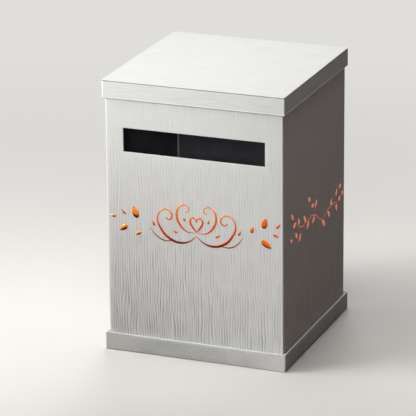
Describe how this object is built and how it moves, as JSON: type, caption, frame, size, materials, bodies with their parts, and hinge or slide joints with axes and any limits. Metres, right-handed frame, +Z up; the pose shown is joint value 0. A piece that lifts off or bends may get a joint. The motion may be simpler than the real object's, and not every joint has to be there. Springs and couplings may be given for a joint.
{
  "type": "wedding card box",
  "caption": "Tall square paper-wrapped card box with a wide card slot in front, a lift-off lid and a shallow base tray that the open sleeve stands in.",
  "frame": {"origin": "centre of the underside of the base tray", "axes": "+Z up; the card slot faces -Y; +X to the right of someone who faces the slot"},
  "size_m": [0.254, 0.254, 0.373],
  "materials": {
    "wrap_paper": "white, wood-grain embossed, satin",
    "greyboard": "uncoated",
    "lining_paper": "uncoated charcoal",
    "corner_tape": "gummed kraft",
    "copper_foil": "hot-stamped metallised film with a copper tint"
  },
  "bodies": {
    "base_tray": {"base_floor_board": "greyboard", "base_front_wall_board": "greyboard", "base_back_wall_board": "greyboard", "base_left_wall_board": "greyboard", "base_right_wall_board": "greyboard", "base_corner_tapes": "corner_tape", "base_wrap": "wrap_paper", "base_bottom_sheet": "lining_paper", "base_lining": "lining_paper"},
    "sleeve": {"sleeve_front_board": "greyboard", "sleeve_back_board": "greyboard", "sleeve_left_board": "greyboard", "sleeve_right_board": "greyboard", "sleeve_corner_tapes": "corner_tape", "sleeve_wrap": "wrap_paper", "sleeve_front_lining": "lining_paper", "sleeve_back_lining": "lining_paper", "sleeve_left_lining": "lining_paper", "sleeve_right_lining": "lining_paper"},
    "lid": {"lid_top_board": "greyboard", "lid_front_skirt_board": "greyboard", "lid_back_skirt_board": "greyboard", "lid_left_skirt_board": "greyboard", "lid_right_skirt_board": "greyboard", "lid_corner_tapes": "corner_tape", "lid_wrap": "wrap_paper", "lid_lining": "lining_paper"}
  },
  "joints": [
    {"name": "sleeve_lift", "type": "slide", "parent": "base_tray", "child": "sleeve", "axis": [0, 0, 1], "range_m": [0, 0.06]},
    {"name": "lid_lift", "type": "slide", "parent": "sleeve", "child": "lid", "axis": [0, 0, 1], "range_m": [0, 0.15]}
  ]
}
